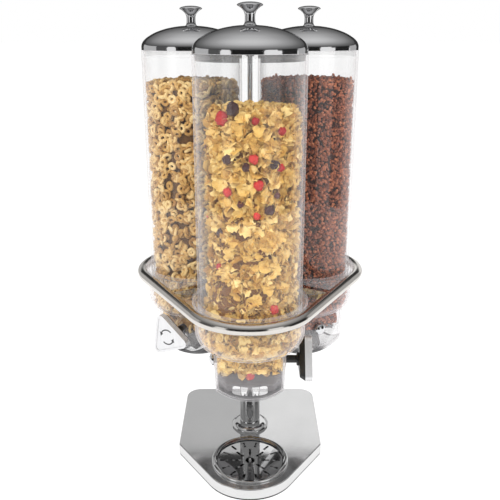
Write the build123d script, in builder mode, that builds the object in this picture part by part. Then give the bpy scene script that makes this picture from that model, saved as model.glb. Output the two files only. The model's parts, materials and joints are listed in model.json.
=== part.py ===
from build123d import *
from math import acos, atan2, cos, radians, sin, sqrt, tan
import os

# Triple cereal dispenser: three clear jars hang in a turning carrier over one crumb tray.
# Millimetres, +Z up. The origin is on the turning axis at the surface that the base stands on.
# The front unit is at -Y. The other two are the same unit turned 120 and 240 degrees.

# Base
pad_thickness = 2.5
skirt_height = 13.5
base_sheet = 1.5
base_half_width = 100.0
base_back = 102.0
base_side_front = -51.0
base_nose_radius = 63.0
base_back_corner = 22.0
base_side_corner = 7.0
base_edge_round = 1.4
pad_inset = 0.7
ballast_thickness = 8.0
ballast_inset = 4.0
ballast_tray_gap = 8.0
ballast_screw_spread = 70.0
ballast_screw_radius = 2.0
ballast_screw_head_radius = 3.8
ballast_screw_head_height = 1.6

# Crumb tray and its grille
tray_rim_radius = 51.6
tray_rim_thickness = 3.2
tray_body_radius = 46.5
tray_depth = 8.5
tray_corner_width = 2.1
tray_corner_height = 3.4
tray_rim_fall = 0.6
tray_sheet = 1.2
tray_hole_gap = 2.5
grille_gap = 1.3
grille_thickness = 1.6
grille_drop = 0.6
slot_width = 3.2
slot_inner_radius = 12.0
slot_outer_radius = 26.0
slot_outer_row_start = 30.5
slot_outer_row_end = 41.0
slot_inner_count = 8
slot_outer_count = 14
grille_finger_hole = 6.5
grille_leg_count = 3
grille_leg_radius = 1.4

# Post, pivot and centre rod
post_radius = 14.6
post_wall = 2.0
post_plug = 14.0
post_bolt_radius = 4.0
post_bolt_head_radius = 7.5
post_bolt_head_height = 2.6
post_bolt_length = 18.0
flange_radius = 26.2
flange_height = 7.0
flange_edge_height = 2.1
flange_shoulder = 2.6
flange_shoulder_height = 5.0
flange_land = 3.0
bush_flange = 2.0
bush_length = 40.0
spindle_radius = 8.0
spindle_length = 36.0
hub_height = 20.0
rod_radius = 3.0
rod_boss_radius = 7.0
rod_boss_height = 10.0
rod_thread_depth = 14.0
rod_length = 300.0
finial_radius = 8.0

# Units round the turning axis
unit_gap = 5.9
hub_side_gap = 2.9
rotor_rest_turns = {"front": 0.0, "right": 45.0, "left": 22.0}

# Outlet bowl, chute and collar of one hopper
outlet_height = 102.0
bowl_radius = 75.0
bowl_wall = 2.5
outlet_length = 46.0
outlet_width = 26.0
outlet_corner = 5.0
chute_half_length = 45.0
chute_half_depth = 46.2
chute_corner = 12.0
chute_taper = 2.2
chute_wall = 2.4
shaft_rise = 50.7
shoulder_rise = 72.0
shoulder_height = 23.0
shoulder_low_radius = 47.0
collar_radius = 69.5
collar_wall = 2.6
seat_rise = 20.0
seat_width = 3.2
seat_thickness = 3.0
jar_insert = 20.5
rim_radius = 72.4
rim_thickness = 3.0
bearing_boss_radius = 9.5
bearing_boss_proud = 2.5

# Carrier ring and arms
ring_tube_radius = 7.15
ring_clearance = 0.9
arm_width = 9.0
arm_height = 12.0

# Rotor
shaft_radius = 5.0
shaft_clearance = 0.05
shaft_knob_end = 72.0
trough_clearance = 1.0
trough_wall = 1.8
trough_side_rise = 4.0
paddle_count = 6
paddle_radius = 38.5
paddle_thickness = 2.4
paddle_half_length = 37.0
paddle_hub_radius = 10.0
end_cap_radius = 8.0
end_cap_height = 6.0

# Turning knob of a rotor
knob_inradius = 19.6
knob_corner = 7.2
knob_back_start = 60.0
knob_face_start = 69.4
knob_face_end = 78.4
knob_back_neck = 8.5
knob_back_thickness = 6.5
knob_back_slope = 34.0
knob_groove_count = 3
knob_groove_depth = 0.7
knob_recess_depth = 0.8
knob_recess_inset = 3.2

# Jar
jar_radius = 65.0
jar_wall = 3.0
jar_height = 313.0
jar_clearance = 0.4
jar_edge_chamfer = 0.6

# Lid
lid_radius = 64.4
lid_sheet = 1.2
lid_skirt = 8.0
lid_rise = 19.0
lid_lip_width = 7.0
seal_radius = 61.6
seal_height = 8.0
seal_thickness = 3.0
lid_knob_foot_radius = 8.0
lid_knob_stem_radius = 4.7
lid_knob_radius = 13.9
lid_knob_height = 26.5
lid_knob_edge = 3.0
lid_knob_foot_edge = 1.0
lid_knob_foot_curve = 0.9
lid_knob_foot_curve_height = 2.4
lid_knob_stem_start = 5.3
lid_knob_stem_end = 9.5
lid_knob_flare_start = 19.1
lid_knob_flare_curve = 2.6
lid_knob_flare_curve_rise = 1.2
lid_screw_radius = 1.5
lid_screw_head_radius = 3.0
lid_screw_head_height = 2.4
lid_screw_length = 12.0

# Running and seating gaps
running_gap = 0.3
seating_gap = 0.05

# The units stand evenly round the post, as near as their rims allow
unit_count = len(rotor_rest_turns)
unit_turns = {unit: 360 / unit_count * place for place, unit in enumerate(rotor_rest_turns)}
unit_radius = (2 * rim_radius + unit_gap) / (2 * sin(radians(180 / unit_count)))

# Heights and fits worked out from the sizes above
base_top = pad_thickness + skirt_height
bowl_bottom = base_top + outlet_height
bowl_centre = bowl_bottom + bowl_radius
shaft_z = bowl_bottom + shaft_rise
chute_top = bowl_bottom + shoulder_rise
collar_bottom = chute_top + shoulder_height
seat_z = collar_bottom + seat_rise
rim_top = seat_z + jar_insert
rim_underside = rim_top - rim_thickness
jar_top = seat_z + jar_height
lid_base = jar_top + seating_gap
ring_radius = collar_radius + ring_clearance + ring_tube_radius
ring_drop = sqrt(ring_tube_radius**2 - (ring_radius - rim_radius)**2)
ring_z = rim_underside - seating_gap - ring_drop
arm_top = rim_underside - seating_gap
hub_bottom = arm_top - hub_height
post_top = hub_bottom - running_gap - bush_flange
trough_radius = paddle_radius + trough_clearance
jar_fit = jar_radius + jar_clearance
unit_axis = Axis((0, -unit_radius, 0), (0, 0, 1))
shaft_axis = Axis((0, -unit_radius, shaft_z), (1, 0, 0))
unit_section = Plane(origin=(0, -unit_radius, 0), x_dir=(1, 0, 0), z_dir=(0, -1, 0))
centre_section = Plane.XZ

os.makedirs("parts", exist_ok=True)


def keep(piece, name):
    piece.part.label = name
    export_step(piece.part, f"parts/{name}.step")


def dome_drop(ball_radius, radius):
    # How far a ball's surface falls from its top at this distance from the axis.
    return ball_radius - sqrt(ball_radius**2 - radius**2)


def dome_ball(radius, rise):
    # Radius of the ball that rises this much over a round rim.
    return (radius**2 + rise**2) / (2 * rise)


def keep_units(piece, name, spins=False):
    # One piece for each unit, turned about the post. Rotor pieces also take their rest turn.
    for unit, turn in unit_turns.items():
        spin = rotor_rest_turns[unit] if spins else 0.0
        with BuildPart() as placed:
            add(piece.part.rotate(shaft_axis, spin), rotation=(0, 0, turn))
        keep(placed, f"{unit}_{name}")


def base_outline(inset):
    # Straight back and sides, then two flats that run tangent to the round nose.
    side_rise = base_side_front + unit_radius
    reach = sqrt(base_half_width**2 + side_rise**2)
    touch = atan2(side_rise, base_half_width) - acos(base_nose_radius / reach)
    corner_x = base_half_width - inset
    corner_y = base_side_front - inset * tan(touch / 2)
    nose = base_nose_radius - inset
    touch_x = nose * cos(touch)
    touch_y = nose * sin(touch) - unit_radius
    back = base_back - inset
    with BuildSketch() as outline:
        with BuildLine():
            Polyline((-touch_x, touch_y), (-corner_x, corner_y), (-corner_x, back),
                     (corner_x, back), (corner_x, corner_y), (touch_x, touch_y))
            ThreePointArc((touch_x, touch_y), (0, -unit_radius - nose), (-touch_x, touch_y))
        make_face()
        back_corners = outline.vertices().group_by(Axis.Y)[-1]
        fillet(back_corners, base_back_corner - inset)
        side_corners = outline.vertices().filter_by(lambda v: abs(v.Y - corner_y) < 0.01)
        fillet(side_corners, base_side_corner)
    return outline


# Base pad: non-slip rubber sheet on which the whole stand rests
with BuildPart() as base_pad:
    add(base_outline(pad_inset))
    extrude(amount=pad_thickness)
keep(base_pad, "base_pad")

# Base pan: one drawn and polished sheet with a folded skirt and a round hole for the tray
with BuildPart() as base_pan:
    with BuildSketch(Plane.XY.offset(pad_thickness)):
        add(base_outline(0.0))
    extrude(amount=skirt_height)
    fillet(base_pan.faces().sort_by(Axis.Z)[-1].edges(), base_edge_round)
    with BuildSketch(Plane.XY.offset(pad_thickness)):
        add(base_outline(base_sheet))
    extrude(amount=skirt_height - base_sheet, mode=Mode.SUBTRACT)
    with Locations((0, -unit_radius, base_top)):
        Hole(tray_body_radius + tray_hole_gap)
    with Locations((0, 0, base_top)):
        Hole(post_bolt_radius + running_gap)
keep(base_pan, "base_pan")

# Ballast plate: steel plate under the pan that keeps the tall stand from tipping
ballast_top = base_top - base_sheet
ballast_bottom = ballast_top - ballast_thickness
screw_places = [(side * ballast_screw_spread, y) for side in (-1, 1)
                for y in (ballast_screw_spread, base_side_front)]
with BuildPart() as ballast_plate:
    with BuildSketch(Plane.XY.offset(ballast_bottom)):
        add(base_outline(ballast_inset))
        with Locations((0, -unit_radius)):
            Circle(tray_body_radius + ballast_tray_gap, mode=Mode.SUBTRACT)
        Circle(post_bolt_radius + running_gap, mode=Mode.SUBTRACT)
        with Locations(*screw_places):
            Circle(ballast_screw_radius + seating_gap, mode=Mode.SUBTRACT)
    extrude(amount=ballast_thickness)
keep(ballast_plate, "ballast_plate")

# Ballast screws: four pan heads under the plate, with shanks that end below the polished top
with BuildPart() as ballast_screws:
    with BuildSketch(Plane.XY.offset(ballast_bottom - ballast_screw_head_height)):
        with Locations(*screw_places):
            Circle(ballast_screw_head_radius)
    extrude(amount=ballast_screw_head_height)
    with BuildSketch(Plane.XY.offset(ballast_bottom)):
        with Locations(*screw_places):
            Circle(ballast_screw_radius)
    extrude(amount=ballast_thickness)
keep(ballast_screws, "ballast_screws")

# Crumb tray: a shallow turned dish that drops through the pan and hangs by its rolled rim
tray_section = Plane(origin=(0, -unit_radius, base_top), x_dir=(1, 0, 0), z_dir=(0, -1, 0))
tray_axis = Axis((0, -unit_radius, 0), (0, 0, 1))
rim_roll = tray_rim_thickness / 2
with BuildPart() as crumb_tray:
    with BuildSketch(tray_section):
        with BuildLine():
            Polyline((0, -tray_depth), (tray_body_radius - tray_corner_width, -tray_depth),
                     (tray_body_radius, tray_corner_height - tray_depth), (tray_body_radius, seating_gap),
                     (tray_rim_radius - rim_roll, seating_gap))
            ThreePointArc((tray_rim_radius - rim_roll, seating_gap),
                          (tray_rim_radius, seating_gap + rim_roll),
                          (tray_rim_radius - rim_roll, seating_gap + tray_rim_thickness))
            ThreePointArc((tray_rim_radius - rim_roll, seating_gap + tray_rim_thickness),
                          (tray_rim_radius - 2 * rim_roll, seating_gap + tray_rim_thickness - tray_rim_fall),
                          (tray_body_radius - tray_sheet, tray_sheet))
            Polyline((tray_body_radius - tray_sheet, tray_sheet),
                     (tray_body_radius - tray_sheet, tray_corner_height - tray_depth + tray_sheet / 2),
                     (tray_body_radius - tray_corner_width - tray_sheet, tray_sheet - tray_depth),
                     (0, -tray_depth + tray_sheet), (0, -tray_depth))
        make_face()
    revolve(axis=tray_axis)
keep(crumb_tray, "crumb_tray")

# Tray grille: a loose slotted disc on three stub legs, so that crumbs fall through
grille_radius = tray_body_radius - tray_sheet - grille_gap
tray_floor_radius = tray_body_radius - tray_corner_width - tray_sheet
leg_place = tray_floor_radius - running_gap - grille_leg_radius
grille_top = base_top - grille_drop
grille_bottom = grille_top - grille_thickness
leg_height = grille_bottom - (base_top - tray_depth + tray_sheet) - seating_gap
inner_slot_length = slot_outer_radius - slot_inner_radius
outer_slot_length = slot_outer_row_end - slot_outer_row_start
leg_turn = 180 / slot_outer_count
with BuildPart() as tray_grille:
    with BuildSketch(Plane.XY.offset(grille_bottom)):
        with Locations((0, -unit_radius)):
            Circle(grille_radius)
            Circle(grille_finger_hole, mode=Mode.SUBTRACT)
            with PolarLocations((slot_inner_radius + slot_outer_radius) / 2, slot_inner_count):
                Rectangle(inner_slot_length, slot_width, mode=Mode.SUBTRACT)
            with PolarLocations((slot_outer_row_start + slot_outer_row_end) / 2, slot_outer_count):
                Rectangle(outer_slot_length, slot_width, mode=Mode.SUBTRACT)
    extrude(amount=grille_thickness)
    with BuildSketch(Plane.XY.offset(grille_bottom)):
        with Locations((0, -unit_radius)):
            with PolarLocations(leg_place, grille_leg_count, start_angle=leg_turn):
                Circle(grille_leg_radius)
    extrude(amount=-leg_height)
keep(tray_grille, "tray_grille")

# Post: polished tube with a threaded plug in its foot
with BuildPart() as post:
    with BuildSketch(Plane.XY.offset(base_top)):
        Circle(post_radius)
    extrude(amount=post_top - base_top)
    with BuildSketch(Plane.XY.offset(base_top + post_plug)):
        Circle(post_radius - post_wall)
    extrude(amount=post_top - base_top - post_plug, mode=Mode.SUBTRACT)
    with BuildSketch(Plane.XY.offset(base_top)):
        Circle(post_bolt_radius + seating_gap)
    extrude(amount=post_plug - base_sheet, mode=Mode.SUBTRACT)
keep(post, "post")

# Post bolt: button head under the ballast plate, shank up into the plug
bolt_seat = ballast_bottom
with BuildPart() as post_bolt:
    with BuildSketch(Plane.XY.offset(bolt_seat - post_bolt_head_height)):
        Circle(post_bolt_head_radius)
    extrude(amount=post_bolt_head_height)
    with BuildSketch(Plane.XY.offset(bolt_seat)):
        Circle(post_bolt_radius)
    extrude(amount=post_bolt_length)
keep(post_bolt, "post_bolt")

# Post flange: domed escutcheon that hides the foot of the post
with BuildPart() as post_flange:
    with BuildSketch(centre_section):
        with BuildLine():
            Polyline((post_radius + seating_gap, base_top), (flange_radius, base_top),
                     (flange_radius, base_top + flange_edge_height))
            ThreePointArc((flange_radius, base_top + flange_edge_height),
                          (flange_radius - flange_shoulder, base_top + flange_shoulder_height),
                          (post_radius + flange_land, base_top + flange_height))
            Polyline((post_radius + flange_land, base_top + flange_height),
                     (post_radius + seating_gap, base_top + flange_height),
                     (post_radius + seating_gap, base_top))
        make_face()
    revolve(axis=Axis.Z)
keep(post_flange, "post_flange")

# Pivot bush: flanged plastic sleeve in the top of the post
bush_radius = post_radius - post_wall - seating_gap
spindle_bore = spindle_radius + shaft_clearance
with BuildPart() as pivot_bush:
    with BuildSketch(centre_section):
        with BuildLine():
            Polyline((spindle_bore, post_top - bush_length), (bush_radius, post_top - bush_length),
                     (bush_radius, post_top), (post_radius, post_top),
                     (post_radius, post_top + bush_flange), (spindle_bore, post_top + bush_flange),
                     (spindle_bore, post_top - bush_length))
        make_face()
    revolve(axis=Axis.Z)
keep(pivot_bush, "pivot_bush")

# Carousel hub: spindle, boss and three arms that run between the hoppers to the ring
arm_reach = unit_radius * cos(radians(180 / unit_count)) + ring_radius
hub_radius = unit_radius - collar_radius - hub_side_gap
with BuildPart() as carousel_hub:
    with BuildSketch(Plane.XY.offset(hub_bottom - spindle_length)):
        Circle(spindle_radius)
    extrude(amount=spindle_length)
    with BuildSketch(Plane.XY.offset(hub_bottom)):
        Circle(hub_radius)
    extrude(amount=hub_height)
    with BuildSketch(Plane.XY.offset(arm_top - arm_height)):
        with PolarLocations(arm_reach / 2, unit_count, start_angle=90):
            Rectangle(arm_reach, arm_width)
    extrude(amount=arm_height)
    for turn in unit_turns.values():
        side = radians(turn - 90 + 180 / unit_count)
        ring_line = Plane(origin=(arm_reach * cos(side), arm_reach * sin(side), ring_z),
                          z_dir=(-sin(side), cos(side), 0))
        with BuildSketch(ring_line):
            Circle(ring_tube_radius + seating_gap)
        extrude(amount=arm_width, both=True, mode=Mode.SUBTRACT)
    with BuildSketch(Plane.XY.offset(arm_top)):
        Circle(rod_boss_radius)
    extrude(amount=rod_boss_height)
    with BuildSketch(Plane.XY.offset(arm_top + rod_boss_height)):
        Circle(rod_radius + seating_gap)
    extrude(amount=-rod_thread_depth, mode=Mode.SUBTRACT)
keep(carousel_hub, "carousel_hub")

# Carrier ring: one bent bar, round the outside of the collars, with straight runs between
with BuildPart() as carrier_ring:
    with BuildLine(Plane.XY.offset(ring_z)):
        for turn in unit_turns.values():
            facing = turn - 90.0
            following = facing + 360 / unit_count
            here = (unit_radius * cos(radians(facing)), unit_radius * sin(radians(facing)))
            there = (unit_radius * cos(radians(following)), unit_radius * sin(radians(following)))
            side_x = ring_radius * cos(radians((facing + following) / 2))
            side_y = ring_radius * sin(radians((facing + following) / 2))
            CenterArc(here, ring_radius, facing - 180 / unit_count, 360 / unit_count)
            Line((here[0] + side_x, here[1] + side_y), (there[0] + side_x, there[1] + side_y))
    with BuildSketch(Plane(origin=(0, -unit_radius - ring_radius, ring_z), z_dir=(1, 0, 0))):
        Circle(ring_tube_radius)
    sweep()
keep(carrier_ring, "carrier_ring")

# Centre rod: slim polished rod screwed into the hub, with a ball to steady the carousel by
rod_foot = arm_top + rod_boss_height - rod_thread_depth + seating_gap
rod_top = rod_foot + rod_length
with BuildPart() as centre_rod:
    with BuildSketch(Plane.XY.offset(rod_foot)):
        Circle(rod_radius)
    extrude(amount=rod_length)
keep(centre_rod, "centre_rod")

with BuildPart() as rod_finial:
    with Locations((0, 0, rod_top)):
        Sphere(finial_radius)
    with BuildSketch(Plane.XY.offset(rod_top - finial_radius)):
        Circle(rod_radius + seating_gap)
    extrude(amount=finial_radius + seating_gap, mode=Mode.SUBTRACT)
keep(rod_finial, "rod_finial")


def chute_block(top, half_length, half_depth, corner, bottom):
    # The tapered square body that the hopper wall, its inside and the outlet bowl share.
    with BuildPart() as block:
        with BuildSketch(Plane.XY.offset(top)):
            with Locations((0, -unit_radius)):
                RectangleRounded(2 * half_length, 2 * half_depth, corner)
        extrude(amount=bottom - top, taper=chute_taper)
    return block.part


# Hopper: square chute under a round shoulder and collar, moulded in clear plastic
chute_start = chute_top + shoulder_height / 2
taper_rate = sin(radians(chute_taper)) / cos(radians(chute_taper))
boss_face = chute_half_length - taper_rate * (chute_start - shaft_z) + bearing_boss_proud
inner_collar = collar_radius - collar_wall
bowl_place = (0, -unit_radius, bowl_centre)
with BuildPart() as hopper:
    add(chute_block(chute_start, chute_half_length, chute_half_depth, chute_corner, bowl_bottom))
    with Locations(bowl_place):
        Sphere(bowl_radius - bowl_wall - seating_gap, mode=Mode.INTERSECT)
    with BuildSketch(Plane(origin=(0, -unit_radius, shaft_z), x_dir=(0, 1, 0), z_dir=(1, 0, 0))):
        Circle(bearing_boss_radius)
    extrude(amount=boss_face, both=True)
    with BuildSketch(unit_section):
        with BuildLine():
            Line((0, chute_top), (shoulder_low_radius, chute_top))
            EllipticalCenterArc((shoulder_low_radius, collar_bottom), collar_radius - shoulder_low_radius,
                                shoulder_height, start_angle=-90, arc_size=90)
            Polyline((collar_radius, collar_bottom), (collar_radius, rim_underside),
                     (rim_radius, rim_underside), (rim_radius, rim_top), (0, rim_top), (0, chute_top))
        make_face()
    revolve(axis=unit_axis)
    add(chute_block(chute_start, chute_half_length - chute_wall, chute_half_depth - chute_wall,
                    chute_corner - chute_wall, bowl_bottom - bowl_wall), mode=Mode.SUBTRACT)
    with BuildSketch(unit_section):
        with BuildLine():
            Line((0, chute_top + collar_wall), (shoulder_low_radius, chute_top + collar_wall))
            EllipticalCenterArc((shoulder_low_radius, collar_bottom), inner_collar - shoulder_low_radius,
                                shoulder_height - collar_wall, start_angle=-90, arc_size=90)
            Polyline((inner_collar, collar_bottom), (inner_collar, seat_z - seat_thickness),
                     (jar_fit - seat_width, seat_z - seat_thickness), (jar_fit - seat_width, seat_z),
                     (jar_fit, seat_z), (jar_fit, rim_top), (0, rim_top), (0, chute_top + collar_wall))
        make_face()
    revolve(axis=unit_axis, mode=Mode.SUBTRACT)
    with BuildSketch(Plane(origin=(0, -unit_radius, shaft_z), x_dir=(0, 1, 0), z_dir=(1, 0, 0))):
        Circle(shaft_radius + shaft_clearance)
    extrude(amount=boss_face + running_gap, both=True, mode=Mode.SUBTRACT)
keep_units(hopper, "hopper")

# Outlet bowl: smoked dish that closes the chute, with the slot that the cereal drops through
with BuildPart() as outlet_bowl:
    add(chute_block(chute_start, chute_half_length, chute_half_depth, chute_corner, bowl_bottom))
    with Locations(bowl_place):
        Sphere(bowl_radius, mode=Mode.INTERSECT)
        Sphere(bowl_radius - bowl_wall, mode=Mode.SUBTRACT)
    with BuildSketch(Plane.XY.offset(bowl_bottom - bowl_wall)):
        with Locations((0, -unit_radius)):
            RectangleRounded(outlet_length, outlet_width, outlet_corner)
    extrude(amount=bowl_radius / 2, mode=Mode.SUBTRACT)
keep_units(outlet_bowl, "outlet_bowl")

# Rotor trough: clear insert round the lower half of the paddles, with a plate that fills the chute
trough_outer = trough_radius + trough_wall
bowl_inner = bowl_radius - bowl_wall
trough_flat = sqrt(bowl_inner**2 - (bowl_centre - shaft_z + trough_outer + running_gap)**2)
trough_corner = trough_flat - trough_wall / 2
trough_end = paddle_half_length + trough_clearance
plate_inset = chute_wall + running_gap + taper_rate * (chute_start - shaft_z + trough_side_rise)
end_drop = trough_radius - (trough_end - trough_corner)
with BuildPart() as rotor_trough:
    with BuildSketch(unit_section):
        with BuildLine():
            Polyline((-trough_end - trough_wall, shaft_z),
                     (-trough_end - trough_wall, shaft_z - end_drop - trough_wall / 2),
                     (-trough_flat, shaft_z - trough_outer), (trough_flat, shaft_z - trough_outer),
                     (trough_end + trough_wall, shaft_z - end_drop - trough_wall / 2),
                     (trough_end + trough_wall, shaft_z), (-trough_end - trough_wall, shaft_z))
        make_face()
    revolve(axis=shaft_axis)
    with BuildSketch(Plane.XY.offset(shaft_z)):
        with Locations((0, -unit_radius)):
            Circle(2 * trough_outer)
    extrude(amount=2 * trough_outer, mode=Mode.SUBTRACT)
    with BuildSketch(Plane.XY.offset(shaft_z - trough_side_rise)):
        with Locations((0, -unit_radius)):
            RectangleRounded(2 * (chute_half_length - plate_inset), 2 * (chute_half_depth - plate_inset),
                             chute_corner - chute_wall)
    extrude(amount=trough_wall)
    with BuildSketch(unit_section):
        with BuildLine():
            Polyline((-trough_end, shaft_z), (-trough_end, shaft_z - end_drop),
                     (-trough_corner, shaft_z - trough_radius), (trough_corner, shaft_z - trough_radius),
                     (trough_end, shaft_z - end_drop), (trough_end, shaft_z), (-trough_end, shaft_z))
        make_face()
    revolve(axis=shaft_axis, mode=Mode.SUBTRACT)
    with BuildSketch(Plane(origin=(0, -unit_radius, shaft_z), x_dir=(0, 1, 0), z_dir=(1, 0, 0))):
        Circle(shaft_radius + running_gap)
    extrude(amount=2 * trough_end, both=True, mode=Mode.SUBTRACT)
    with BuildSketch(Plane.XY.offset(bowl_bottom - bowl_wall)):
        with Locations((0, -unit_radius)):
            RectangleRounded(outlet_length, outlet_width, outlet_corner)
    extrude(amount=shaft_rise, mode=Mode.SUBTRACT)
keep_units(rotor_trough, "rotor_trough")

# Paddle wheel: soft blades on a hub, with corners cut to clear the bowl
with BuildPart() as paddle_wheel:
    with BuildSketch(Plane(origin=(0, -unit_radius, shaft_z), x_dir=(0, 1, 0), z_dir=(1, 0, 0))):
        Circle(paddle_hub_radius)
    extrude(amount=paddle_half_length, both=True)
    tip_half = trough_corner - trough_clearance / 2
    tip_drop = paddle_radius - (paddle_half_length - tip_half)
    for blade in range(paddle_count):
        lean = radians(90 + 360 * blade / paddle_count)
        blade_plane = Plane(origin=(0, -unit_radius, shaft_z), x_dir=(1, 0, 0),
                            z_dir=(0, -sin(lean), cos(lean)))
        with BuildSketch(blade_plane):
            with BuildLine():
                Polyline((-paddle_half_length, paddle_hub_radius / 2), (-paddle_half_length, tip_drop),
                         (-tip_half, paddle_radius), (tip_half, paddle_radius),
                         (paddle_half_length, tip_drop), (paddle_half_length, paddle_hub_radius / 2),
                         (-paddle_half_length, paddle_hub_radius / 2))
            make_face()
        extrude(amount=paddle_thickness / 2, both=True)
    with BuildSketch(Plane(origin=(0, -unit_radius, shaft_z), x_dir=(0, 1, 0), z_dir=(1, 0, 0))):
        Circle(shaft_radius + seating_gap)
    extrude(amount=2 * paddle_half_length, both=True, mode=Mode.SUBTRACT)
keep_units(paddle_wheel, "paddle_wheel", spins=True)

# Rotor shaft: runs in the two bearing bosses and carries the knob outside
cap_face = -boss_face - running_gap
shaft_cap_end = cap_face - end_cap_height / 2
with BuildPart() as rotor_shaft:
    with BuildSketch(Plane(origin=(shaft_cap_end, -unit_radius, shaft_z), x_dir=(0, 1, 0), z_dir=(1, 0, 0))):
        Circle(shaft_radius)
    extrude(amount=shaft_knob_end - shaft_cap_end)
keep_units(rotor_shaft, "rotor_shaft", spins=True)

# End cap: bright domed cap that holds the free end of the shaft
cap_rim = end_cap_height / 3
cap_top = cap_face - end_cap_height
cap_ball = dome_ball(end_cap_radius, end_cap_height - cap_rim)
with BuildPart() as end_cap:
    with BuildSketch(Plane(origin=(0, -unit_radius, shaft_z), x_dir=(1, 0, 0), z_dir=(0, -1, 0))):
        with BuildLine():
            Polyline((cap_top, 0), (cap_face, 0), (cap_face, end_cap_radius),
                     (cap_face - cap_rim, end_cap_radius))
            ThreePointArc((cap_face - cap_rim, end_cap_radius),
                          (cap_top + dome_drop(cap_ball, end_cap_radius / 2), end_cap_radius / 2),
                          (cap_top, 0))
        make_face()
    revolve(axis=shaft_axis)
    with BuildSketch(Plane(origin=(shaft_cap_end, -unit_radius, shaft_z), x_dir=(0, 1, 0), z_dir=(1, 0, 0))):
        Circle(shaft_radius + seating_gap)
    extrude(amount=end_cap_height, mode=Mode.SUBTRACT)
keep_units(end_cap, "end_cap", spins=True)


def knob_plane(x):
    return Plane(origin=(x, -unit_radius, shaft_z), x_dir=(0, 0, 1), z_dir=(1, 0, 0))


def knob_outline(inset):
    # Triangle with round corners. One corner points up when the knob is at zero.
    with BuildSketch() as outline:
        RegularPolygon(2 * (knob_inradius - inset), 3)
        fillet(outline.vertices(), knob_corner - inset)
    return outline


# Knob back: black tapered body between the shaft and the metal face
with BuildPart() as knob_back:
    with BuildSketch(knob_plane(knob_back_start)):
        Circle(knob_back_neck)
    extrude(amount=knob_face_start - seating_gap - knob_back_start)
    with BuildSketch(knob_plane(knob_face_start - seating_gap)):
        add(knob_outline(knob_groove_depth))
    extrude(amount=-knob_back_thickness, taper=knob_back_slope)
    with BuildSketch(knob_plane(knob_back_start - running_gap)):
        Circle(shaft_radius + seating_gap)
    extrude(amount=knob_face_end - knob_back_start, mode=Mode.SUBTRACT)
keep_units(knob_back, "knob_back", spins=True)

# Knob face: thick metal plate with grooves round its edge and a shallow sunk field
groove_bands = 2 * knob_groove_count + 1
band = (knob_face_end - knob_face_start) / groove_bands
with BuildPart() as knob_face:
    for step in range(groove_bands):
        with BuildSketch(knob_plane(knob_face_start + step * band)):
            add(knob_outline(knob_groove_depth * (step % 2)))
        extrude(amount=band)
    with BuildSketch(knob_plane(knob_face_end)):
        add(knob_outline(knob_recess_inset))
    extrude(amount=-knob_recess_depth, mode=Mode.SUBTRACT)
    with BuildSketch(knob_plane(knob_face_start)):
        Circle(shaft_radius + seating_gap)
    extrude(amount=shaft_knob_end - knob_face_start + seating_gap, mode=Mode.SUBTRACT)
keep_units(knob_face, "knob_face", spins=True)

# Jar: clear open tube that stands in the collar
with BuildPart() as jar:
    with BuildSketch(Plane.XY.offset(seat_z)):
        with Locations((0, -unit_radius)):
            Circle(jar_radius)
            Circle(jar_radius - jar_wall, mode=Mode.SUBTRACT)
    extrude(amount=jar_height)
    chamfer(jar.edges().filter_by(GeomType.CIRCLE), jar_edge_chamfer)
keep_units(jar, "jar")

# Lid: spun dome with an upright rim and a turned-in lip that lies on the jar
dome_foot = lid_base + lid_skirt
lid_apex = dome_foot + lid_rise
lid_ball = dome_ball(lid_radius, lid_rise)
lid_inside = lid_radius - lid_sheet
inside_ball = lid_ball - lid_sheet
inside_apex = lid_apex - lid_sheet
inside_foot = inside_apex - dome_drop(inside_ball, lid_inside)
with BuildPart() as lid:
    with BuildSketch(unit_section):
        with BuildLine():
            Polyline((lid_radius - lid_lip_width, lid_base), (lid_radius, lid_base), (lid_radius, dome_foot))
            ThreePointArc((lid_radius, dome_foot),
                          (lid_radius / 2, lid_apex - dome_drop(lid_ball, lid_radius / 2)), (0, lid_apex))
            Line((0, lid_apex), (0, inside_apex))
            ThreePointArc((0, inside_apex),
                          (lid_inside / 2, inside_apex - dome_drop(inside_ball, lid_inside / 2)),
                          (lid_inside, inside_foot))
            Polyline((lid_inside, inside_foot), (lid_inside, lid_base + lid_sheet),
                     (lid_radius - lid_lip_width, lid_base + lid_sheet),
                     (lid_radius - lid_lip_width, lid_base))
        make_face()
    revolve(axis=unit_axis)
    with BuildSketch(Plane.XY.offset(lid_apex)):
        with Locations((0, -unit_radius)):
            Circle(lid_screw_radius + running_gap)
    extrude(amount=-2 * lid_sheet, mode=Mode.SUBTRACT)
keep_units(lid, "lid")

# Lid seal: soft ring under the lip that plugs the mouth of the jar
with BuildPart() as lid_seal:
    with BuildSketch(Plane.XY.offset(lid_base - seating_gap)):
        with Locations((0, -unit_radius)):
            Circle(seal_radius)
            Circle(seal_radius - seal_thickness, mode=Mode.SUBTRACT)
    extrude(amount=-seal_height)
keep_units(lid_seal, "lid_seal")

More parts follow.
